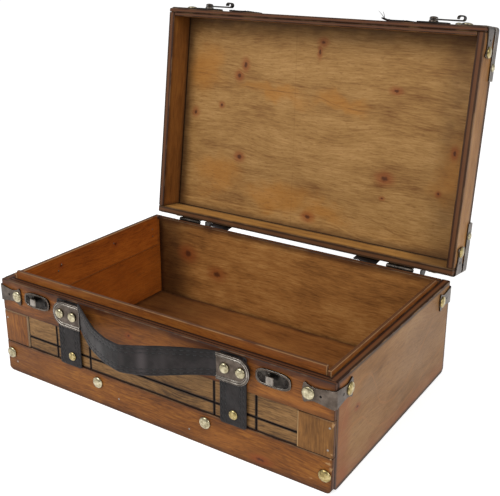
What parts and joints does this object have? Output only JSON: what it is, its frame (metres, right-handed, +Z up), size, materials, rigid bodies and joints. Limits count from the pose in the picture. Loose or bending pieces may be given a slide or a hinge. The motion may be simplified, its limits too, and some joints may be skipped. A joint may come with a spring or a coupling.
{
  "type": "wooden suitcase chest",
  "caption": "Small wooden storage suitcase with a hinged lid held open by stops, leather handle and straps, metal corners, hook latches and domed tacks.",
  "frame": {"origin": "middle of the base's underside, on the surface that the box stands on", "axes": "+X to the right along the front, -Y the front with the handle, +Z up; stored with the lid open"},
  "size_m": [0.3566, 0.3309, 0.3288],
  "materials": {
    "front_wood": "reddish-brown stained ply with worn, darkened edges, satin varnish",
    "front_panel_wood": "lighter brown stained panel with dark scored lines",
    "side_plywood": "pale brown plywood with scorched edges, satin",
    "inside_wood": "honey-brown stained ply with knots, satin",
    "lip_wood": "orange-brown stained strip, satin",
    "leather": "charcoal leather with edge stitching, creased, low sheen",
    "pewter": "sheet metal with an aged pewter plating",
    "antique_brass": "antique brass, domed and rubbed bright on top",
    "dark_steel": "blackened steel, slightly rubbed"
  },
  "bodies": {
    "base": {"base_back_board": "inside_wood", "base_bracket_back_left": "pewter", "base_bracket_back_right": "pewter", "base_bracket_front_left": "pewter", "base_bracket_front_right": "pewter", "base_floor": "inside_wood", "base_front_panel": "front_panel_wood", "base_side_left": "side_plywood", "base_side_right": "side_plywood", "base_strap_left": "leather", "base_strap_right": "leather", "front_bottom_rail": "front_wood", "front_stile_left": "front_wood", "front_stile_right": "front_wood", "front_top_rail": "front_wood", "handle_plate_left": "pewter", "handle_plate_right": "pewter", "handle_rivet_left_inner": "antique_brass", "handle_rivet_left_outer": "antique_brass", "handle_rivet_right_inner": "antique_brass", "handle_rivet_right_outer": "antique_brass", "handle_strap": "leather", "hinge_base_leaf_left": "dark_steel", "hinge_base_leaf_right": "dark_steel", "hinge_pin_left": "dark_steel", "hinge_pin_right": "dark_steel", "latch_catch_left": "pewter", "latch_catch_right": "pewter", "lid_stop_left": "dark_steel", "lid_stop_right": "dark_steel", "lip_front": "lip_wood", "lip_left": "lip_wood", "lip_right": "lip_wood", "rail_tack_left": "antique_brass", "rail_tack_left_end": "antique_brass", "rail_tack_right": "antique_brass", "rail_tack_right_end": "antique_brass"},
    "lid": {"hinge_lid_leaf_left": "dark_steel", "hinge_lid_leaf_right": "dark_steel", "latch_plate_left": "pewter", "latch_plate_right": "pewter", "lid_back_board": "inside_wood", "lid_bracket_back_left": "pewter", "lid_bracket_back_right": "pewter", "lid_bracket_front_left": "pewter", "lid_bracket_front_right": "pewter", "lid_corner_cap_back_left": "pewter", "lid_corner_cap_back_right": "pewter", "lid_corner_cap_front_left": "pewter", "lid_corner_cap_front_right": "pewter", "lid_front_board": "inside_wood", "lid_front_facing": "front_wood", "lid_panel": "inside_wood", "lid_side_left": "side_plywood", "lid_side_right": "side_plywood", "lid_strap_left": "leather", "lid_strap_right": "leather"},
    "arm_left": {"latch_arm_left": "dark_steel"},
    "arm_right": {"latch_arm_right": "dark_steel"}
  },
  "joints": [
    {"name": "lid_hinge", "type": "hinge", "parent": "base", "child": "lid", "pos_m": [0, 0.1156, 0.09425], "axis": [1, 0, 0], "range_deg": [0, 98]},
    {"name": "latch_arm_left_pivot", "type": "hinge", "parent": "lid", "child": "arm_left", "pos_m": [-0.1275, 0.15558, 0.31948], "axis": [0, -0.1392, -0.9903], "range_deg": [-90, 90]},
    {"name": "latch_arm_right_pivot", "type": "hinge", "parent": "lid", "child": "arm_right", "pos_m": [0.1235, 0.15558, 0.31948], "axis": [0, -0.1392, -0.9903], "range_deg": [-90, 90]}
  ]
}
